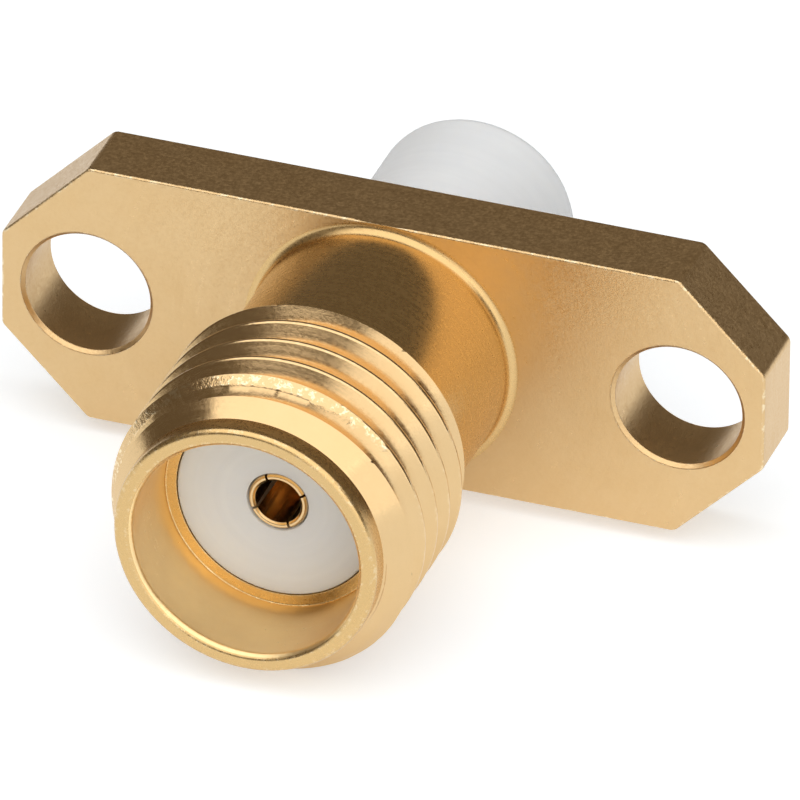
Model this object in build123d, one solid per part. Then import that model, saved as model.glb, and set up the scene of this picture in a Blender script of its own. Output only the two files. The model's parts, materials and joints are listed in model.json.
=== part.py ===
# A coaxial panel jack: a gold-plated brass body with a two-hole flange and a threaded barrel,
# a PTFE insulator that runs through it and out behind, and a slotted socket contact in the middle.
#
# Millimetres. The origin is on the connector's axis, in the rear face of the flange, which seats
# on the panel. +X runs along the flange, -Y is the side that the plug comes from, and +Z is up.
import os
from math import ceil, radians, tan

from build123d import *
from build123d.topology import SkipClean

# Insulator, and the walls of the body round it, from the inside out
insulator_diameter = 4.1
insulator_extension = 4.25
insulator_end_radius = 0.3
ledge_width = 0.25
rim_wall = 0.38
lead_chamfer = 0.47
neck_wall = 0.6

# Body along its axis
rim_to_panel = 9.5
mating_depth = 1.93
bore_edge_break = 0.1
nose_length = 0.47
barrel_length = 4.4
barrel_rear_chamfer = 0.3
neck_fillet = 0.19

# Coupling thread, 60 degrees with a flat crest and root. The setback is from the lead chamfer's
# outer edge to the middle of the first full crest, at the barrel's top. The crest is a row of short
# faces, so that each is close to a plain ring's arc and can be measured by itself.
inch = 25.4
threads_per_inch = 36
thread_angle = 60
depth_in_pitches = 0.6134
crest_in_pitches = 1 / 8
first_crest_setback = 0.44
crest_faces_per_turn = 8

# Flange
flange_thickness = 1.6
flange_margin = 0.2
corner_cut = 1.8
corner_radius = 0.2
hole_spacing = 12.2
hole_diameter = 2.6
hole_end_wall = 0.475
hole_edge_break = 0.08

# Centre contact
socket_diameter = 0.94
socket_depth = 2.9
drill_point_angle = 118
finger_wall = 0.13
finger_edge_break = 0.04
slot_count = 4
slot_width = 0.16
slot_length = 2.1
first_slot_angle = -25
shank_step = 0.035
collar_step = 0.12
collar_length = 0.5
collar_setback = 4.0
post_step = 0.18
post_length = 1.4
post_end_chamfer = 0.15

# Clearances, each on the radius or at one end
pressed_gap = 0.02
finger_gap = 0.06

# How far the thread's cutter stands out of the crests
cutter_overreach = 0.04

# How closely an edge is matched by its place or its radius
match_tolerance = 0.01

# A fillet or edge break takes at most this share of the wall that it is cut in
wall_share = 0.95

# Radii, from the inside out
socket_radius = socket_diameter / 2
finger_radius = socket_radius + finger_wall
shank_radius = finger_radius + shank_step
collar_radius = shank_radius + collar_step
post_radius = shank_radius - post_step
insulator_radius = insulator_diameter / 2
bore_radius = insulator_radius + ledge_width
nose_radius = bore_radius + rim_wall
thread_radius = nose_radius + lead_chamfer
neck_radius = insulator_radius + neck_wall
thread_pitch = inch / threads_per_inch
hole_radius = hole_diameter / 2

# Places along the axis, from the rim to the solder post's end
rim_y = -rim_to_panel
reference_y = rim_y + mating_depth
thread_front_y = rim_y + nose_length + lead_chamfer
barrel_rear_y = rim_y + barrel_length
flange_front_y = -flange_thickness
finger_root_y = reference_y + socket_depth
collar_front_y = reference_y + collar_setback
collar_rear_y = collar_front_y + collar_length
insulator_end_y = insulator_extension
post_end_y = insulator_end_y + post_length

# Flange outline
flange_width = 2 * (neck_radius + flange_margin)
flange_length = hole_spacing + 2 * (hole_radius + hole_end_wall)


def turned(*corners):
    # a solid of revolution about the connector's axis, from its (radius, y) corners
    return revolve(make_face(Polyline(*corners, close=True)), Axis.Y)


def turned_in_sectors(count, *corners):
    # the same, from equal sectors that each keep an outer face, half a step clear of the X axis
    step = 360 / count
    sector = revolve(make_face(Polyline(*corners, close=True)), Axis.Y, step)
    return Part() + [Rot(0, (index + 1 / 2) * step, 0) * sector for index in range(count)]


def limited(size, wall):
    return min(size, wall_share * wall)


def circles_at(solid, y):
    # the round edges that lie in one plane across the axis, the widest last
    edges = solid.edges().filter_by(GeomType.CIRCLE)
    level = edges.filter_by_position(Axis.Y, y - match_tolerance, y + match_tolerance)
    return level.sort_by(SortBy.RADIUS)


def flange_outline():
    plate = Rectangle(flange_length, flange_width)
    plate = chamfer(plate.vertices(), limited(corner_cut, flange_width / 2))
    plate = fillet(plate.vertices(), limited(corner_radius, hole_end_wall))
    return plate - GridLocations(hole_spacing, 1, 2, 1) * Circle(hole_radius)


def flange():
    # Plane.XZ faces -Y, so the plate grows from the panel towards the barrel
    plate = extrude(Plane.XZ * flange_outline(), flange_thickness)
    hole_rims = plate.edges().filter_by(GeomType.CIRCLE).filter_by(
        lambda edge: abs(edge.radius - hole_radius) < match_tolerance)
    return chamfer(hole_rims, limited(hole_edge_break, hole_end_wall))


def barrel_and_neck():
    rear_chamfer = limited(barrel_rear_chamfer, thread_radius - neck_radius)
    return turned_in_sectors(
        crest_faces_per_turn,
        (0, rim_y),
        (nose_radius, rim_y),
        (nose_radius, rim_y + nose_length),
        (thread_radius, thread_front_y),
        (thread_radius, barrel_rear_y - rear_chamfer),
        (thread_radius - rear_chamfer, barrel_rear_y),
        (neck_radius, barrel_rear_y),
        (neck_radius, 0),
        (0, 0),
    )


def groove_turn(middle_y):
    # one turn of the thread's groove: four helical faces, closed by a flat one at each end
    flank_lean = tan(radians(thread_angle / 2))
    depth = limited(depth_in_pitches * thread_pitch, thread_radius - max(nose_radius, neck_radius))
    outer_radius = thread_radius + cutter_overreach
    root_radius = thread_radius - depth
    outer_half = thread_pitch * (1 - crest_in_pitches) / 2 + cutter_overreach * flank_lean
    root_half = outer_half - (outer_radius - root_radius) * flank_lean
    rails = [
        Helix(thread_pitch, thread_pitch, radius, (0, middle_y + offset, 0), (0, 1, 0)).edge()
        for radius, offset in (
            (outer_radius, -outer_half),
            (outer_radius, outer_half),
            (root_radius, root_half),
            (root_radius, -root_half),
        )
    ]
    sides = [Face.make_surface_from_curves(rail, following)
             for rail, following in zip(rails, rails[1:] + rails[:1])]
    ends = [make_face(Polyline(*[rail @ end for rail in rails], close=True)).face() for end in (0, 1)]
    return Solid(Shell(sides + ends))


def thread_groove():
    # turns end to end, from clear of the lead chamfer to clear of the barrel's rear face
    first_middle = thread_front_y + first_crest_setback - thread_pitch / 2 - thread_pitch
    turn_count = ceil((barrel_rear_y - first_middle) / thread_pitch)
    return [groove_turn(first_middle + index * thread_pitch) for index in range(turn_count)]


def body_bores():
    # the plug's bore, its lead-in, the ledge that the plug seats on, and the insulator's bore
    edge_break = limited(bore_edge_break, rim_wall)
    seat_radius = insulator_radius + pressed_gap
    return turned(
        (0, rim_y),
        (bore_radius + edge_break, rim_y),
        (bore_radius, rim_y + edge_break),
        (bore_radius, reference_y),
        (seat_radius, reference_y),
        (seat_radius, 0),
        (0, 0),
    )


def make_body():
    # without the clean-up that would join the faces of neighbouring sectors again
    with SkipClean():
        body = barrel_and_neck() - thread_groove() + flange()
        neck_root = circles_at(body, flange_front_y).filter_by(
            lambda edge: abs(edge.radius - neck_radius) < match_tolerance)
        body = fillet(neck_root, limited(neck_fillet, flange_margin))
        return body - body_bores()


def make_insulator():
    sleeve = turned(
        (0, reference_y),
        (insulator_radius, reference_y),
        (insulator_radius, insulator_end_y),
        (0, insulator_end_y),
    )
    sleeve = fillet(circles_at(sleeve, insulator_end_y)[-1], insulator_end_radius)
    return sleeve - contact_bore()


def contact_bore():
    # room for the fingers to spread, the bore that grips the shank, and the collar's pocket
    finger_room = finger_radius + finger_gap
    grip = shank_radius + pressed_gap
    pocket = collar_radius + pressed_gap
    return turned(
        (0, reference_y),
        (finger_room, reference_y),
        (finger_room, finger_root_y),
        (grip, finger_root_y),
        (grip, collar_front_y - pressed_gap),
        (pocket, collar_front_y - pressed_gap),
        (pocket, collar_rear_y + pressed_gap),
        (grip, collar_rear_y + pressed_gap),
        (grip, insulator_end_y),
        (0, insulator_end_y),
    )


def contact_blank():
    # fingers, shank, the collar that holds it in the insulator, and the solder post behind
    edge_break = limited(finger_edge_break, finger_wall / 2)
    end_chamfer = limited(post_end_chamfer, post_radius)
    return turned(
        (0, reference_y),
        (finger_radius - edge_break, reference_y),
        (finger_radius, reference_y + edge_break),
        (finger_radius, finger_root_y - shank_step),
        (shank_radius, finger_root_y),
        (shank_radius, collar_front_y),
        (collar_radius, collar_front_y),
        (collar_radius, collar_rear_y),
        (shank_radius, collar_rear_y),
        (shank_radius, insulator_end_y),
        (post_radius, insulator_end_y),
        (post_radius, post_end_y - end_chamfer),
        (post_radius - end_chamfer, post_end_y),
        (0, post_end_y),
    )


def socket_bore():
    # the drilled socket, with a countersunk mouth and the cone that the drill leaves
    edge_break = limited(finger_edge_break, finger_wall / 2)
    cone = socket_radius / tan(radians(drill_point_angle / 2))
    return turned(
        (0, reference_y),
        (socket_radius + edge_break, reference_y),
        (socket_radius, reference_y + edge_break),
        (socket_radius, reference_y + socket_depth),
        (0, reference_y + socket_depth + cone),
    )


def finger_slots():
    # radial saw cuts that part the socket's wall into spring fingers
    cut = Pos(collar_radius, reference_y + slot_length / 2, 0) * Box(
        2 * collar_radius, slot_length, slot_width)
    return [Rot(0, first_slot_angle + 360 * index / slot_count, 0) * cut for index in range(slot_count)]


def make_centre_contact():
    return contact_blank() - socket_bore() - finger_slots()


def write_part(name, solid):
    solid.label = name
    export_step(solid, f"parts/{name}.step")


os.makedirs("parts", exist_ok=True)
write_part("body", make_body())
write_part("insulator", make_insulator())
write_part("centre_contact", make_centre_contact())
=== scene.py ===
import json
import math

import bmesh
import bpy
from mathutils import Matrix, Vector


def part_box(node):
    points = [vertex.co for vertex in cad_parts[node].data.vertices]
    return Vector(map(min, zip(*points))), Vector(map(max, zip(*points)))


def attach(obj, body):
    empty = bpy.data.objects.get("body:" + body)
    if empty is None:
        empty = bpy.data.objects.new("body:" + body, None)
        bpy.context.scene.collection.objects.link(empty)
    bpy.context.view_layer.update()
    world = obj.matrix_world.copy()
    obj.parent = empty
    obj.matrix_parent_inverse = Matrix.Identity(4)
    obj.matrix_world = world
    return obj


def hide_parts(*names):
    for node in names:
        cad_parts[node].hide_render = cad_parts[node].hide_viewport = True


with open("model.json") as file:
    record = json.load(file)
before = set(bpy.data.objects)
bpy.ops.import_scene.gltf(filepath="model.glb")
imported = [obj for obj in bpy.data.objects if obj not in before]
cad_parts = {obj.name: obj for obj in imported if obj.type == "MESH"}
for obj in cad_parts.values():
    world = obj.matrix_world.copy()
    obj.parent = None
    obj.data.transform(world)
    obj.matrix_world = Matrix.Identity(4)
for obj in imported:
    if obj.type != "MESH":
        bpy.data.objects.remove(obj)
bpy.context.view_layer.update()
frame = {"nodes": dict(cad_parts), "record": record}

# Sizes in the dictionaries are millimetres. -Y is the side that the plug comes from, +Z is up.
mm = 0.001
print("frame loaded:", ", ".join(sorted(frame["nodes"])))

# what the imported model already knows
mounts = {mount["name"]: mount["dims"] for mount in frame["record"]["mounts"]}
bodyLow, bodyHigh = (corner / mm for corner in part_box("body"))
sleeveLow, sleeveHigh = (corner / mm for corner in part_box("insulator"))
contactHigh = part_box("centre_contact")[1] / mm

rimY, panelY = bodyLow.y, bodyHigh.y
threadRadius = bodyHigh.z
seatY = sleeveLow.y                    # where the plug seats: sleeve, fingers and ledge end here
sleeveRadius = sleeveHigh.z
boreRadius = mounts["mating_bore"]["r_mm"]


# camera, fitted to the photograph

shot = {
    "azimuth": 19.034,                 # degrees
    "elevation": 31.611,
    "roll": 0.672,
    "distance": 409.28,
    "target": (0.173, -0.913, -1.494),
    "lens": 942.94,
    "sensor": 36.0,
    "clip": (0.02, 5),                 # metres
}


def setCamera():
    around, above, roll = (math.radians(shot[key]) for key in ("azimuth", "elevation", "roll"))
    back = Vector((math.sin(around) * math.cos(above), -math.cos(around) * math.cos(above), math.sin(above)))
    level = Vector((math.cos(around), math.sin(around), 0))
    right = level * math.cos(roll) + back.cross(level) * math.sin(roll)
    lensData = bpy.data.cameras.new("shot_camera")
    lensData.sensor_width = shot["sensor"]
    lensData.lens = shot["lens"]
    lensData.clip_start, lensData.clip_end = shot["clip"]
    camera = bpy.data.objects.new("shot_camera", lensData)
    turn = Matrix((right, back.cross(right), back)).transposed().to_4x4()
    eye = (Vector(shot["target"]) + back * shot["distance"]) * mm
    camera.matrix_world = Matrix.Translation(eye) @ turn
    bpy.context.collection.objects.link(camera)
    bpy.context.scene.camera = camera


setCamera()
print("camera set")


# node helpers

def addNode(tree, kind, inputs=None, **settings):
    node = tree.nodes.new(kind)
    for key, value in settings.items():
        setattr(node, key, value)
    for key, value in (inputs or {}).items():
        if isinstance(value, bpy.types.NodeSocket):
            tree.links.new(value, node.inputs[key])
        else:
            node.inputs[key].default_value = value
    return node


def scaled(tree, value, low, high):
    # a 0 to 1 mask stretched to low..high
    stretch = addNode(tree, "ShaderNodeMapRange", {"Value": value, "To Min": low, "To Max": high})
    return stretch.outputs["Result"]


def spread(tree, noise, low=0.35, high=0.65):
    # noise keeps to the middle of its range, so low..high becomes a mask from 0 to 1
    stretch = addNode(tree, "ShaderNodeMapRange", {"Value": noise, "From Min": low, "From Max": high})
    return stretch.outputs["Result"]


def blended(tree, mask, first, second):
    # a Mix node has its factor in input 0, its two colours in inputs 6 and 7 and their mix in output 2
    return addNode(tree, "ShaderNodeMix", {0: mask, 6: first, 7: second}, data_type="RGBA").outputs[2]


def math2(tree, operation, first, second):
    return addNode(tree, "ShaderNodeMath", {0: first, 1: second}, operation=operation).outputs[0]


def newGroup(name, inputs, outputs):
    group = bpy.data.node_groups.new(name, "ShaderNodeTree")
    for socketName, value in inputs.items():
        socket = group.interface.new_socket(socketName, in_out="INPUT", socket_type="NodeSocketFloat")
        socket.default_value = value
    for socketName in outputs:
        group.interface.new_socket(socketName, in_out="OUTPUT", socket_type="NodeSocketFloat")
    return group, group.nodes.new("NodeGroupInput"), group.nodes.new("NodeGroupOutput")


def useGroup(tree, group, **values):
    node = tree.nodes.new("ShaderNodeGroup")
    node.node_tree = group
    for key, value in values.items():
        node.inputs[key].default_value = value
    return node


# shared surface effects

def makeGrainGroup():
    # fine matte grain of a blasted and plated face, and the slow mottling under it
    group, given, out = newGroup(
        "PlatingGrain", {"Grain": 15000.0, "Mottle": 900.0}, ("Height", "Speckle", "Mottling"))
    place = addNode(group, "ShaderNodeTexCoord").outputs["Object"]
    fine = addNode(group, "ShaderNodeTexNoise", {
        "Vector": place, "Scale": given.outputs["Grain"], "Detail": 2.0, "Roughness": 0.6})
    slow = addNode(group, "ShaderNodeTexNoise", {
        "Vector": place, "Scale": given.outputs["Mottle"], "Detail": 4.0, "Roughness": 0.6})
    group.links.new(fine.outputs["Fac"], out.inputs["Height"])
    group.links.new(spread(group, fine.outputs["Fac"]), out.inputs["Speckle"])
    group.links.new(spread(group, slow.outputs["Fac"], 0.3, 0.7), out.inputs["Mottling"])
    return group


def makeTurningGroup():
    # the fine rings that a lathe tool leaves: they follow the distance along and out from the axis
    group, given, out = newGroup("TurningMarks", {"Lines": 9000.0, "Waver": 0.04}, ("Height", "Streaks"))
    place = addNode(group, "ShaderNodeSeparateXYZ", {
        "Vector": addNode(group, "ShaderNodeTexCoord").outputs["Object"]})
    across = addNode(group, "ShaderNodeCombineXYZ", {"X": place.outputs["X"], "Y": place.outputs["Z"]})
    radius = addNode(group, "ShaderNodeVectorMath", {0: across.outputs[0]}, operation="LENGTH")
    aside = math2(group, "MULTIPLY", place.outputs["X"], given.outputs["Waver"])
    rings = addNode(group, "ShaderNodeCombineXYZ", {
        "X": place.outputs["Y"], "Y": radius.outputs["Value"], "Z": aside})
    lines = addNode(group, "ShaderNodeTexNoise", {
        "Vector": rings.outputs[0], "Scale": given.outputs["Lines"], "Detail": 3.0, "Roughness": 0.65})
    group.links.new(lines.outputs["Fac"], out.inputs["Height"])
    group.links.new(spread(group, lines.outputs["Fac"]), out.inputs["Streaks"])
    return group


def makeWearGroup():
    # rubbed edges: the mesh marks its rounded edges, and noise breaks the mark up
    group, given, out = newGroup("RubbedEdges", {"Breakup": 8000.0, "Spread": 0.52}, ("Mask", "Nicks"))
    edge = addNode(group, "ShaderNodeAttribute", attribute_name="edge")
    patches = addNode(group, "ShaderNodeTexNoise", {
        "Vector": addNode(group, "ShaderNodeTexCoord").outputs["Object"],
        "Scale": given.outputs["Breakup"], "Detail": 3.0, "Roughness": 0.7})
    broken = spread(group, patches.outputs["Fac"], given.outputs["Spread"], 0.62)
    mask = math2(group, "MULTIPLY", edge.outputs["Fac"], broken)
    nicks = math2(group, "MULTIPLY", edge.outputs["Fac"], patches.outputs["Fac"])
    group.links.new(mask, out.inputs["Mask"])
    group.links.new(nicks, out.inputs["Nicks"])
    return group


grainGroup = makeGrainGroup()
turningGroup = makeTurningGroup()
wearGroup = makeWearGroup()


# finishes

goldTones = {
    "plating": (0.75, 0.525, 0.272, 1),
    "deepPlating": (0.69, 0.45, 0.2, 1),
    "turned": (0.7, 0.475, 0.21, 1),
    # the bore's tone is the plating made lighter: painted light on the bore wall, not a colour of its own
    "bored": (0.98, 0.73, 0.37, 1),
    "rubbed": (0.92, 0.76, 0.5, 1),
}

# Grain and turning are how many to the metre, and their depths are millimetres. Mottle is how much
# of the second tone shows.
goldFinishes = {
    "milled_gold": {
        "roughness": (0.3, 0.42), "grain": 16000.0, "grainDepth": 0.004, "turning": 9000.0,
        "turningDepth": 0.0, "mottle": 0.35, "tones": ("plating", "deepPlating")},
    "turned_gold": {
        "roughness": (0.25, 0.33), "grain": 12000.0, "grainDepth": 0.001, "turning": 14000.0,
        "turningDepth": 0.0008, "mottle": 0.2, "tones": ("turned", "deepPlating")},
    # the bore's rougher finish is real, but its lighter first tone is painted light
    "bored_gold": {
        "roughness": (0.3, 0.38), "grain": 14000.0, "grainDepth": 0.002, "turning": 12000.0,
        "turningDepth": 0.001, "mottle": 0.3, "tones": ("bored", "plating")},
    "thread_gold": {
        "roughness": (0.15, 0.21), "grain": 14000.0, "grainDepth": 0.001, "turning": 9000.0,
        "turningDepth": 0.0008, "mottle": 0.3, "tones": ("plating", "deepPlating")},
    "contact_gold": {
        "roughness": (0.16, 0.24), "grain": 12000.0, "grainDepth": 0.001, "turning": 14000.0,
        "turningDepth": 0.0008, "mottle": 0.2, "tones": ("plating", "deepPlating")},
}

goldWear = {
    "streakGloss": 0.03,               # how far the turning streaks change the roughness, up and down
    "rubbedGloss": 0.1,                # how much smoother a rubbed edge is
    "nickDepth": 0.012,
}


def newMaterial(name):
    material = bpy.data.materials.new(name)
    material.use_nodes = True
    return material, material.node_tree, material.node_tree.nodes["Principled BSDF"]


def raised(tree, height, depth, **under):
    # a bump of the given depth in millimetres, on top of the normal it is given, if any
    inputs = {"Height": height, "Strength": 1.0, "Distance": depth * mm, **under}
    return addNode(tree, "ShaderNodeBump", inputs).outputs["Normal"]


def makeGold(name, finish):
    # plated brass; the finishes on the part differ in grain, turning marks, roughness and tone, and the
    # bore's lighter tone is painted light
    material, tree, shader = newMaterial(name)
    grit = useGroup(tree, grainGroup, Grain=finish["grain"])
    rings = useGroup(tree, turningGroup, Lines=finish["turning"])
    wear = useGroup(tree, wearGroup)
    shader.inputs["Metallic"].default_value = 1.0
    first, second = (goldTones[tone] for tone in finish["tones"])
    tone = blended(tree, scaled(tree, grit.outputs["Mottling"], 0.0, finish["mottle"]), first, second)
    tone = blended(tree, wear.outputs["Mask"], tone, goldTones["rubbed"])
    tree.links.new(tone, shader.inputs["Base Color"])
    gritGloss = scaled(tree, grit.outputs["Speckle"], *finish["roughness"])
    ringGloss = scaled(tree, rings.outputs["Streaks"], -goldWear["streakGloss"], goldWear["streakGloss"])
    wearGloss = scaled(tree, wear.outputs["Mask"], 0.0, goldWear["rubbedGloss"])
    gloss = math2(tree, "SUBTRACT", math2(tree, "ADD", gritGloss, ringGloss), wearGloss)
    tree.links.new(gloss, shader.inputs["Roughness"])
    cut = raised(tree, rings.outputs["Height"], finish["turningDepth"])
    grained = raised(tree, grit.outputs["Height"], finish["grainDepth"], Normal=cut)
    nicked = raised(tree, wear.outputs["Nicks"], goldWear["nickDepth"], Normal=grained)
    tree.links.new(nicked, shader.inputs["Normal"])
    return material


gold = {name: makeGold(name, finish) for name, finish in goldFinishes.items()}


ptfeFinish = {
    "tones": ((0.89, 0.92, 0.95, 1), (0.85, 0.88, 0.91, 1)),
    "streaks": (0.81, 0.84, 0.87, 1),
    "streakShare": 0.35,
    "roughness": (0.42, 0.55),
    "grain": 6000.0,
    "mottle": 700.0,
    "turning": 5000.0,
    "turningDepth": 0.002,
    "throughShare": 0.6,               # how much of the light goes into the plastic and comes out again
    "throughColour": (1.0, 0.95, 0.9),
    "throughDepth": 0.4,
    "shine": 0.35,
}


def makePtfe():
    material, tree, shader = newMaterial("white_ptfe")
    grit = useGroup(tree, grainGroup, Grain=ptfeFinish["grain"], Mottle=ptfeFinish["mottle"])
    rings = useGroup(tree, turningGroup, Lines=ptfeFinish["turning"])
    tone = blended(tree, grit.outputs["Mottling"], *ptfeFinish["tones"])
    streaks = scaled(tree, rings.outputs["Streaks"], 0.0, ptfeFinish["streakShare"])
    tree.links.new(blended(tree, streaks, tone, ptfeFinish["streaks"]), shader.inputs["Base Color"])
    gloss = scaled(tree, grit.outputs["Speckle"], *ptfeFinish["roughness"])
    tree.links.new(gloss, shader.inputs["Roughness"])
    shader.inputs["Subsurface Weight"].default_value = ptfeFinish["throughShare"]
    shader.inputs["Subsurface Radius"].default_value = ptfeFinish["throughColour"]
    shader.inputs["Subsurface Scale"].default_value = ptfeFinish["throughDepth"] * mm
    shader.inputs["Specular IOR Level"].default_value = ptfeFinish["shine"]
    cut = raised(tree, rings.outputs["Height"], ptfeFinish["turningDepth"])
    tree.links.new(cut, shader.inputs["Normal"])
    return material


ptfe = makePtfe()
print("finishes made")


# mesh helpers

meshing = {
    "arcStep": 20,                     # degrees between the points of a rounded corner
    "sharpEdge": 38,                   # degrees between faces from which their edge stays sharp
    "merged": 0.0002,                  # points closer than this become one
    "planeDigits": (3, 2),             # faces lie in one plane if their direction and height round alike
    "keptShare": 0.5,                  # how wide a face has to be, beside the widest, to keep its normal
}


def cornerArc(before, here, after, rounding, arcStep=meshing["arcStep"]):
    # centre of the arc that rounds a corner, and the directions from it to the arc's points
    before, here, after = (Vector(point[:2]) for point in (before, here, after))
    back, on = (before - here).normalized(), (after - here).normalized()
    half = back.angle(on) / 2
    centre = here + (back + on).normalized() * (rounding / math.sin(half))
    first = (here + back * (rounding / math.tan(half)) - centre).normalized()
    last = (here + on * (rounding / math.tan(half)) - centre).normalized()
    turn = first.angle(last)
    steps = max(2, math.ceil(turn / math.radians(arcStep)))
    shares = [step / steps for step in range(steps + 1)]
    return centre, [(first * math.sin((1 - share) * turn) + last * math.sin(share * turn)) / math.sin(turn)
                    for share in shares]


def rounded(corners, wear=1.0):
    # an open line of (out, along, rounding) corners as (out, along, edge mark) points
    points = [(*corners[0][:2], 0.0)]
    for before, here, after in zip(corners, corners[1:], corners[2:]):
        if here[2] == 0:
            points.append((*here[:2], 0.0))
            continue
        centre, directions = cornerArc(before, here, after, here[2])
        for index, direction in enumerate(directions):
            mark = wear * math.sin(math.pi * index / (len(directions) - 1))
            points.append((*(centre + direction * here[2]), mark))
    return points + [(*corners[-1][:2], 0.0)]


def addPoint(mesh, x, y, z, mark):
    vertex = mesh.verts.new((x * mm, y * mm, z * mm))
    vertex[mesh.verts.layers.float["edge"]] = mark
    return vertex


def joinLoops(mesh, loops, finish):
    for near, far in zip(loops, loops[1:]):
        for index in range(len(near)):
            after = (index + 1) % len(near)
            mesh.faces.new((near[index], near[after], far[after], far[index])).material_index = finish


def lathe(mesh, columnAt, segments, finishAt):
    # columnAt(share of a turn) gives (radius, y, mark) points, from +Z towards +X, and the last column
    # meets the first
    columns = []
    for index in range(segments + 1):
        angle = 2 * math.pi * (index % segments) / segments
        columns.append([addPoint(mesh, radius * math.sin(angle), y, radius * math.cos(angle), mark)
                        for radius, y, mark in columnAt(index / segments)])
    for left, right in zip(columns, columns[1:]):
        for index in range(len(left) - 1):
            face = mesh.faces.new((left[index], left[index + 1], right[index + 1], right[index]))
            face.material_index = finishAt(index)
    return columns[:-1]


def startMesh():
    mesh = bmesh.new()
    mesh.verts.layers.float.new("edge")
    return mesh


def finishMesh(mesh, name, materials):
    bmesh.ops.remove_doubles(mesh, verts=mesh.verts, dist=meshing["merged"] * mm)
    bmesh.ops.recalc_face_normals(mesh, faces=mesh.faces)
    data = bpy.data.meshes.new(name)
    mesh.to_mesh(data)
    mesh.free()
    for material in materials:
        data.materials.append(material)
    piece = bpy.data.objects.new(name, data)
    bpy.context.collection.objects.link(piece)
    return piece


def smoothFan(loop):
    # the faces round a corner that smooth edges join to the corner's own face
    found = [loop.face]
    for face in found:
        for edge in face.edges:
            if edge.smooth and loop.vert in edge.verts:
                found += [other for other in edge.link_faces if other not in found]
    return found


def planeOf(face):
    directionDigits, heightDigits = meshing["planeDigits"]
    height = face.normal.dot(face.verts[0].co) / mm
    return (*(round(part, directionDigits) for part in face.normal), round(height, heightDigits))


def setNormals(piece):
    # where faces meet smoothly, the wide ones keep their own normal and the narrow roundings turn to
    # meet it; the faces in one plane count as one wide face
    mesh = bmesh.new()
    mesh.from_mesh(piece.data)
    sharp = math.radians(meshing["sharpEdge"])
    for edge in mesh.edges:
        edge.smooth = len(edge.link_faces) == 2 and edge.calc_face_angle(0) < sharp
    planes, areas = {}, {}
    for face in mesh.faces:
        face.smooth = True
        planes[face] = planeOf(face)
        areas[planes[face]] = areas.get(planes[face], 0) + face.calc_area()
    normals = []
    for face in mesh.faces:
        for loop in face.loops:
            fan = smoothFan(loop)
            least = meshing["keptShare"] * max(areas[planes[other]] for other in fan)
            kept = {planes[other]: other.normal for other in fan if areas[planes[other]] > least}
            normals.append(sum(kept.values(), Vector()).normalized())
    mesh.to_mesh(piece.data)
    mesh.free()
    piece.data.normals_split_custom_set(normals)


def placePiece(piece, node):
    setNormals(piece)
    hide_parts(node)
    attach(piece, "root")
    print("made", piece.name, "with", len(piece.data.polygons), "faces")


# plated body

plated = {
    "segments": 240,
    "holeSegments": 96,
    "noseWall": 0.38,
    "noseLength": 0.47,
    "leadChamfer": 0.47,
    "barrelLength": 4.4,
    "rearChamfer": 0.3,
    "neckWall": 0.6,
    "neckFillet": 0.19,
    "mouthBreak": 0.1,
    "seatGap": 0.02,                   # between the insulator and the bore that holds it
    "seatRounding": 0.02,
    "edgeRounding": 0.065,
    "besideNeck": (0.08, 0.23, 1.0),   # share of it left where the neck's fillet almost reaches a long edge
    "besideNeckStep": 0.3,             # distance between those places, from the middle of the edge
    "rimRounding": 0.13,               # the rim's two edges are worn round
    "rimWear": 0.4,
    "ledgeRounding": 0.03,
    "holeRounding": 0.03,
    "flangeThickness": 1.6,
    "flangeMargin": 0.2,
    "cornerCut": 1.8,
    "cornerRadius": 0.2,
    "cornerStep": 6,                   # degrees
    "holeBreak": 0.08,
}

thread = {
    "perInch": 36,
    "angle": 60,                       # degrees between the flanks
    "depthInPitches": 0.6134,
    "crestInPitches": 1 / 8,
    "firstCrestSetback": 0.44,         # from the chamfer's edge to the first full crest, at the barrel's top
    "crestRounding": 0.07,
    "rootRounding": 0.08,
    "roundingReach": 0.29,             # how far a rounding runs on from its flat, in shares of its radius
    "crestWear": 0.35,
    "crestWearDepth": 0.5,             # how far down the crest's rounding it shows, as a share of it
    "arcPoints": 3,
    "flankPoints": 3,
    "firstCrestCut": 0.18,             # 45 degree cut on the front of the first crest
    # turns from the top, where that cut starts, is full, starts to fade and ends
    "cutFades": (-0.5, -0.3, 0.04, 0.17),
    "cutSeam": 0.4,                    # the share of a turn from which the cut is counted backwards
    "halvings": 24,                    # how often a step is halved to find where two surfaces cross in it
    "tinyStep": 1e-6,                  # shorter ones aren't searched
}

inch = 25.4
pitch = inch / thread["perInch"]
threadDepth = thread["depthInPitches"] * pitch
crestHalf = thread["crestInPitches"] * pitch / 2    # half the flat on a crest, before it is rounded
flankLean = math.radians(thread["angle"] / 2)
flankSteep = math.radians(90 - thread["angle"] / 2)
flankSlope = math.tan(flankSteep)
flankRun = threadDepth / flankSlope
rootHalf = pitch / 2 - crestHalf - flankRun

neckRadius = sleeveRadius + plated["neckWall"]
noseRadius = boreRadius + plated["noseWall"]
chamferStart = rimY + plated["noseLength"]
barrelRear = rimY + plated["barrelLength"]
flangeFront = panelY - plated["flangeThickness"]
neckRing = neckRadius + plated["neckFillet"]
flangeHalfLength = bodyHigh.x
flangeHalfWidth = neckRadius + plated["flangeMargin"]


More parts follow.
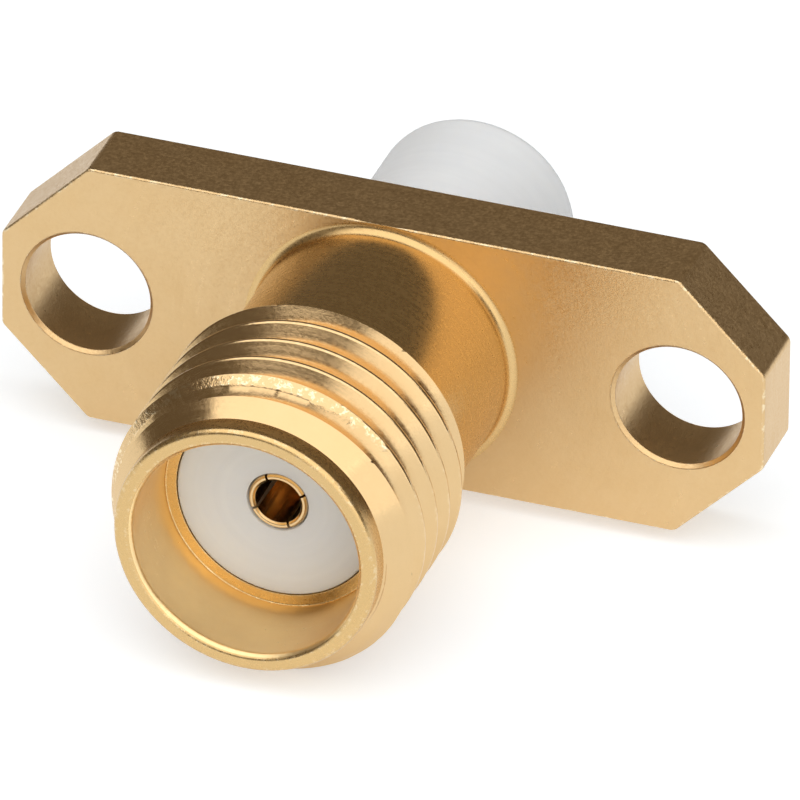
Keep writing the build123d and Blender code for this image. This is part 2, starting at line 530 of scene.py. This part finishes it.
def threadRadiusAt(offset):
    # offset is the distance along the axis from a crest's middle
    away = abs((offset + pitch / 2) % pitch - pitch / 2)
    crest, root = thread["crestRounding"], thread["rootRounding"]
    crestFlat = crestHalf - crest * math.tan(flankLean)
    crestEnd = crestFlat + crest * math.sin(flankSteep)
    rootAway = pitch / 2 - away
    rootFlat = rootHalf - root * math.tan(flankLean)
    rootEnd = rootFlat + root * math.sin(flankSteep)
    if away <= crestFlat:
        return threadRadius
    if away <= crestEnd:
        return threadRadius - crest + math.sqrt(crest ** 2 - (away - crestFlat) ** 2)
    if rootAway <= rootFlat:
        return threadRadius - threadDepth
    if rootAway <= rootEnd:
        return threadRadius - threadDepth + root - math.sqrt(root ** 2 - (rootAway - rootFlat) ** 2)
    return threadRadius - (away - crestHalf) * flankSlope


def barrelRadiusAt(y, share):
    # the barrel before the thread is cut: both ends and the first crest's front are cut at 45 degrees
    fromFront = noseRadius + (y - chamferStart)
    fromRear = threadRadius - plated["rearChamfer"] + (barrelRear - y)
    turn = share if share < thread["cutSeam"] else share - 1
    starts, full, fades, ends = thread["cutFades"]
    rising, fading = (turn - starts) / (full - starts), (ends - turn) / (ends - fades)
    amount = thread["firstCrestCut"] * max(0, min(rising, fading, 1))
    crestY = firstCrest + turn * pitch
    flankY = crestY - crestHalf - amount / flankSlope
    if abs(y - crestY) > pitch / 2:
        return min(threadRadius, fromFront, fromRear)
    return min(threadRadius, fromFront, fromRear, threadRadius - amount + (y - flankY))


def pitchSteps():
    # where along one pitch the thread's surface gets its points, from a crest's middle
    crestEnd = crestHalf + thread["crestRounding"] * thread["roundingReach"]
    rootEnd = rootHalf + thread["rootRounding"] * thread["roundingReach"]
    count = thread["arcPoints"]
    crest = [crestEnd * step / count for step in range(count + 1)]
    root = [pitch / 2 - rootEnd * step / count for step in range(count, -1, -1)]
    gap = (root[0] - crest[-1]) / (thread["flankPoints"] + 1)
    flank = [crest[-1] + gap * (step + 1) for step in range(thread["flankPoints"])]
    half = crest + flank + root
    return half + [pitch - step for step in reversed(half[1:-1])]


def crossing(low, high, share):
    # where a chamfer and the thread's surface cut each other, between two points along the axis
    def above(y):
        return barrelRadiusAt(y, share) > threadRadiusAt(y - firstCrest - share * pitch)
    start = above(low)
    for _ in range(thread["halvings"]):
        middle = (low + high) / 2
        low, high = (middle, high) if above(middle) == start else (low, middle)
    return (low + high) / 2


firstCrest = chamferStart + plated["leadChamfer"] + thread["firstCrestSetback"]
turnsBefore = math.ceil((firstCrest - chamferStart) / pitch) + 1
turnsAfter = math.ceil((barrelRear - firstCrest) / pitch) + 1
threadSteps = [pitch * turn + step for turn in range(-turnsBefore, turnsAfter) for step in pitchSteps()]


def threadColumn(share):
    crestY = firstCrest + share * pitch
    places = [min(max(crestY + step, chamferStart), barrelRear) for step in threadSteps]
    for index in range(len(places) - 1):
        low, high = places[index], places[index + 1]
        if high - low < thread["tinyStep"]:
            continue
        lowAbove, highAbove = (barrelRadiusAt(y, share) > threadRadiusAt(y - crestY) for y in (low, high))
        if lowAbove != highAbove:
            meet = crossing(low, high, share)
            places[index if meet - low < high - meet else index + 1] = meet
    column = []
    wearDepth = thread["crestWearDepth"] * thread["crestRounding"]
    for y in places:
        blank, cut = barrelRadiusAt(y, share), threadRadiusAt(y - crestY)
        onCrest = thread["crestWear"] * max(0.0, 1 - (threadRadius - min(blank, cut)) / wearDepth)
        onCut = 1.0 if blank < cut and abs(y - firstCrest) < pitch / 2 else 0.0
        column.append((min(blank, cut), y, max(onCrest, onCut)))
    return column


boreEdge = boreRadius + plated["mouthBreak"]
insideLine = rounded([
    (sleeveRadius + plated["seatGap"], panelY, 0),
    (sleeveRadius + plated["seatGap"], seatY, plated["seatRounding"]),
    (boreRadius, seatY, plated["ledgeRounding"]),
    (boreRadius, rimY + plated["mouthBreak"], plated["rimRounding"]),
    (boreEdge, rimY, plated["rimRounding"]),
    (noseRadius, rimY, plated["rimRounding"]),
    (noseRadius, chamferStart, 0),
], plated["rimWear"])
boreFront, boreRear = rimY + plated["mouthBreak"] / 2, seatY - plated["ledgeRounding"] / 2
boreSteps = [index for index, (radius, y, mark) in enumerate(insideLine)
             if boreFront < y < boreRear and radius < boreEdge]
neckLine = rounded([
    (neckRadius, barrelRear, 0),
    (neckRadius, flangeFront, plated["neckFillet"]),
    (neckRing, flangeFront, 0),
], wear=0.0)


def bodyColumn(share):
    return insideLine + threadColumn(share) + neckLine


bodyFinishes = ("milled_gold", "turned_gold", "thread_gold", "bored_gold")


def bodyFinish(index):
    # the finish of the faces from this point of the column to the next
    threadEnd = len(insideLine) + len(threadSteps) - 1
    # the bore wall takes the finish whose lighter tone is painted light
    if index in boreSteps:
        return bodyFinishes.index("bored_gold")
    return bodyFinishes.index("thread_gold" if len(insideLine) <= index < threadEnd else "turned_gold")


def flangeLoop(mesh, inset, y, mark):
    along, across, cut = flangeHalfLength, flangeHalfWidth, plated["cornerCut"]
    quarter = [(along - cut, across), (along, across - cut)]
    corners = quarter + [(x, -z) for x, z in reversed(quarter)]
    corners += [(-x, -z) for x, z in quarter]
    corners += [(-x, z) for x, z in reversed(quarter)]
    loop = []
    for index, corner in enumerate(corners):
        after = corners[(index + 1) % len(corners)]
        centre, directions = cornerArc(
            corners[index - 1], corner, after, plated["cornerRadius"], plated["cornerStep"])
        for direction in directions:
            x, z = centre + direction * (plated["cornerRadius"] - inset)
            loop.append(addPoint(mesh, x, y, z, mark))
        startsLongEdge = corner[0] * corner[1] < 0 and abs(corner[1]) == across
        if startsLongEdge:
            loop += longEdge(mesh, math.copysign(1, corner[1]), inset, y, mark)
    return loop


def longEdge(mesh, side, inset, y, mark):
    # points along a long edge, where the front rounding narrows beside the neck
    shares = plated["besideNeck"]
    points = []
    for step in range(1 - len(shares), len(shares)):
        share = shares[abs(step)] if y < (flangeFront + panelY) / 2 else 1.0
        x = side * step * plated["besideNeckStep"]
        z = side * (flangeHalfWidth - inset * share)
        points.append(addPoint(mesh, x, flangeFront + (y - flangeFront) * share, z, mark))
    return points


def holeLoop(mesh, middle, radius, y, mark):
    turns = [2 * math.pi * index / plated["holeSegments"] for index in range(plated["holeSegments"])]
    return [addPoint(mesh, middle + radius * math.sin(turn), y, radius * math.cos(turn), mark)
            for turn in turns]


def capFlange(mesh, loops, facing):
    # a flat face between the loops; its finish is the first, the milled one
    edges = []
    for loop in loops:
        for index, vertex in enumerate(loop):
            after = loop[(index + 1) % len(loop)]
            edges.append(mesh.edges.get((vertex, after)) or mesh.edges.new((vertex, after)))
    bmesh.ops.triangle_fill(mesh, use_beauty=True, edges=edges, normal=(0, facing, 0))


def addFlange(mesh, columns):
    holeRadius = mounts["flange_holes"]["hole_r_mm"]
    holeEdge = holeRadius + plated["holeBreak"]
    edge, holeRound = plated["edgeRounding"], plated["holeRounding"]
    milled = bodyFinishes.index("milled_gold")
    # the first and last point of each line only show which way the flat faces lie, and are dropped
    outerLine = rounded([
        (1, flangeFront, 0),
        (0, flangeFront, edge),
        (0, panelY, edge),
        (1, panelY, 0),
    ])[1:-1]
    holeLine = rounded([
        (holeEdge + 1, flangeFront, 0),
        (holeEdge, flangeFront, holeRound),
        (holeRadius, flangeFront + plated["holeBreak"], holeRound),
        (holeRadius, panelY - plated["holeBreak"], holeRound),
        (holeEdge, panelY, holeRound),
        (holeEdge + 1, panelY, 0),
    ])[1:-1]
    outer = [flangeLoop(mesh, *point) for point in outerLine]
    joinLoops(mesh, outer, milled)
    front, rear = [outer[0]], [outer[-1]]
    for side in (-1, 1):
        middle = side * mounts["flange_holes"]["spacing_x_mm"] / 2
        wall = [holeLoop(mesh, middle, *point) for point in holeLine]
        joinLoops(mesh, wall, milled)
        front.append(wall[0])
        rear.append(wall[-1])
    capFlange(mesh, front + [[column[-1] for column in columns]], -1)
    capFlange(mesh, rear + [[column[0] for column in columns]], 1)


def makeBody():
    mesh = startMesh()
    columns = lathe(mesh, bodyColumn, plated["segments"], bodyFinish)
    addFlange(mesh, columns)
    body = finishMesh(mesh, "plated_body", [gold[finish] for finish in bodyFinishes])
    placePiece(body, "body")


makeBody()


# centre contact

contact = {
    "segments": 96,
    "fingerWall": 0.13,
    "fingerBreak": 0.04,
    "shankStep": 0.035,
    "collarSetback": 4.0,
    "collarLength": 0.5,
    "postStep": 0.18,
    "postChamfer": 0.15,
    "drillAngle": 118,
    "slotWidth": 0.16,
    "slotMouth": 0.05,                 # the fingers are closed in, so each slot narrows towards its mouth
    "slotLength": 2.1,
    "slotCount": 4,
    "firstSlotTurn": -25,              # degrees round the axis, from +Z towards +X
    "cutterSpan": (0.5, 1.5),          # the saw's reach, in shares of the socket's and the collar's radius
    "edgeRounding": 0.015,
    "collarRounding": 0.03,            # also the solder post's end
}

socketRadius = mounts["contact_socket"]["r_mm"]
socketFloor = seatY + mounts["contact_socket"]["length_mm"]
fingerRadius = socketRadius + contact["fingerWall"]
shankRadius = fingerRadius + contact["shankStep"]
collarRadius = contactHigh.z
collarFront = seatY + contact["collarSetback"]
collarRear = collarFront + contact["collarLength"]
postRadius = shankRadius - contact["postStep"]


# a box's faces as corner numbers, with corners 0 to 3 round one end and 4 to 7 round the other
boxFaces = ((0, 1, 2, 3), (7, 6, 5, 4), (0, 4, 5, 1), (1, 5, 6, 2), (2, 6, 7, 3), (3, 7, 4, 0))


def makeSlotCutter():
    # saw cuts, each a thin wedge that starts inside the socket
    cutter = bmesh.new()
    inner, outer = socketRadius * contact["cutterSpan"][0], collarRadius * contact["cutterSpan"][1]
    for index in range(contact["slotCount"]):
        angle = math.radians(contact["firstSlotTurn"] + 360 * index / contact["slotCount"])
        turn = Matrix.Rotation(angle, 3, "Y")
        corners = [turn @ Vector((x, y, side * width / 2)) * mm
                   for y, width in ((seatY - contact["fingerBreak"], contact["slotMouth"]),
                                    (seatY + contact["slotLength"], contact["slotWidth"]))
                   for x, side in ((inner, -1), (outer, -1), (outer, 1), (inner, 1))]
        points = [cutter.verts.new(corner) for corner in corners]
        for face in boxFaces:
            cutter.faces.new([points[number] for number in face])
    bmesh.ops.recalc_face_normals(cutter, faces=cutter.faces)
    data = bpy.data.meshes.new("slot_cutter")
    cutter.to_mesh(data)
    cutter.free()
    tool = bpy.data.objects.new("slot_cutter", data)
    bpy.context.collection.objects.link(tool)
    return tool


def cutAway(piece, tool):
    # keeps the result in the piece's own mesh and throws the tool away
    modifier = piece.modifiers.new("cut", "BOOLEAN")
    modifier.operation, modifier.solver, modifier.object = "DIFFERENCE", "EXACT", tool
    bpy.context.view_layer.update()
    result = bpy.data.meshes.new_from_object(piece.evaluated_get(bpy.context.evaluated_depsgraph_get()))
    piece.modifiers.clear()
    piece.data = result
    bpy.data.objects.remove(tool)


def makeContact():
    soft, collarRound = contact["edgeRounding"], contact["collarRounding"]
    fingerBreak = contact["fingerBreak"]
    cone = socketRadius / math.tan(math.radians(contact["drillAngle"] / 2))
    line = rounded([
        (0, socketFloor + cone, 0),
        (socketRadius, socketFloor, 0),
        (socketRadius, seatY + fingerBreak, soft),
        (socketRadius + fingerBreak, seatY, soft),
        (fingerRadius - fingerBreak, seatY, soft),
        (fingerRadius, seatY + fingerBreak, soft),
        (fingerRadius, socketFloor - contact["shankStep"], 0),
        (shankRadius, socketFloor, 0),
        (shankRadius, collarFront, 0),
        (collarRadius, collarFront, collarRound),
        (collarRadius, collarRear, collarRound),
        (shankRadius, collarRear, 0),
        (shankRadius, sleeveHigh.y, soft),
        (postRadius, sleeveHigh.y, 0),
        (postRadius, contactHigh.y - contact["postChamfer"], collarRound),
        (postRadius - contact["postChamfer"], contactHigh.y, collarRound),
        (0, contactHigh.y, 0),
    ])
    mesh = startMesh()
    lathe(mesh, lambda share: line, contact["segments"], lambda index: 0)
    piece = finishMesh(mesh, "socket_contact", [gold["contact_gold"]])
    cutAway(piece, makeSlotCutter())
    placePiece(piece, "centre_contact")


makeContact()


# PTFE insulator

sleeve = {
    "segments": 128,
    "endRadius": 0.3,
    "frontEdge": 0.03,
    "boreEdge": 0.02,
    "fingerRoom": 0.03,
    "grip": 0.02,
    "seam": 1.0,                       # how deep in the front bore its outline starts and ends
}


def makeInsulator():
    fingerRoom = fingerRadius + sleeve["fingerRoom"]
    grip, pocket = shankRadius + sleeve["grip"], collarRadius + sleeve["grip"]
    line = rounded([
        (fingerRoom, seatY + sleeve["seam"], 0),
        (fingerRoom, seatY, sleeve["boreEdge"]),
        (sleeveRadius, seatY, sleeve["frontEdge"]),
        (sleeveRadius, sleeveHigh.y, sleeve["endRadius"]),
        (grip, sleeveHigh.y, sleeve["boreEdge"]),
        (grip, collarRear + sleeve["grip"], 0),
        (pocket, collarRear + sleeve["grip"], 0),
        (pocket, collarFront - sleeve["grip"], 0),
        (grip, collarFront - sleeve["grip"], 0),
        (grip, socketFloor, 0),
        (fingerRoom, socketFloor, 0),
        (fingerRoom, seatY + sleeve["seam"], 0),
    ])
    mesh = startMesh()
    lathe(mesh, lambda share: line, sleeve["segments"], lambda index: 0)
    piece = finishMesh(mesh, "ptfe_insulator", [ptfe])
    placePiece(piece, "insulator")


makeInsulator()


# floor and light

studio = {
    "floorSize": 3000.0,
    "floorColour": (0.74, 0.79, 0.84, 1),
    "floorGlow": 0.45,                 # what the camera sees added to the lit floor
    "floorGleam": 0.4,                 # and what the metal sees
    "room": (0.135, 0.11, 0.082, 1),
    # name: place, the point that it faces, width, height, brightness
    "softboxes": {
        "overhead": ((60, -150, 200), (60, -150, 0), 540, 430, 1.45),
        "right_front": ((180, -235, 66), (0, 0, 0), 380, 142, 1.3),
    },
}


def makeFloor():
    half = studio["floorSize"] / 2
    mesh = bmesh.new()
    corners = [mesh.verts.new((x * mm, y * mm, bodyLow.z * mm))
               for x, y in ((-half, -half), (half, -half), (half, half), (-half, half))]
    mesh.faces.new(corners)
    data = bpy.data.meshes.new("floor")
    mesh.to_mesh(data)
    mesh.free()
    floor = bpy.data.objects.new("floor", data)
    bpy.context.collection.objects.link(floor)
    material, tree, shader = newMaterial("pale_floor")
    shader.inputs["Base Color"].default_value = studio["floorColour"]
    shader.inputs["Roughness"].default_value = 1.0
    shader.inputs["Specular IOR Level"].default_value = 0.0
    shader.inputs["Emission Color"].default_value = (1, 1, 1, 1)
    path = addNode(tree, "ShaderNodeLightPath")
    mirrored = math2(tree, "MAXIMUM", path.outputs["Is Glossy Ray"], path.outputs["Is Transmission Ray"])
    glow = scaled(tree, path.outputs["Is Camera Ray"], 0.0, studio["floorGlow"])
    gleam = scaled(tree, mirrored, 0.0, studio["floorGleam"])
    tree.links.new(math2(tree, "MAXIMUM", glow, gleam), shader.inputs["Emission Strength"])
    data.materials.append(material)


def makeSoftbox(name, place, faces, width, height, brightness):
    data = bpy.data.lights.new(name, "AREA")
    data.shape, data.size, data.size_y = "RECTANGLE", width * mm, height * mm
    data.energy = brightness * math.pi * data.size * data.size_y
    lamp = bpy.data.objects.new(name, data)
    lamp.location = Vector(place) * mm
    lamp.rotation_mode = "QUATERNION"
    lamp.rotation_quaternion = (Vector(place) - Vector(faces)).to_track_quat("Z", "Y")
    bpy.context.collection.objects.link(lamp)


def makeRoom():
    world = bpy.data.worlds.new("dark_room")
    world.use_nodes = True
    world.node_tree.nodes["Background"].inputs["Color"].default_value = studio["room"]
    bpy.context.scene.world = world


makeFloor()
makeRoom()
for boxName, box in studio["softboxes"].items():
    makeSoftbox(boxName, *box)
bpy.context.scene.view_settings.view_transform = "Standard"
print("floor and lights set")
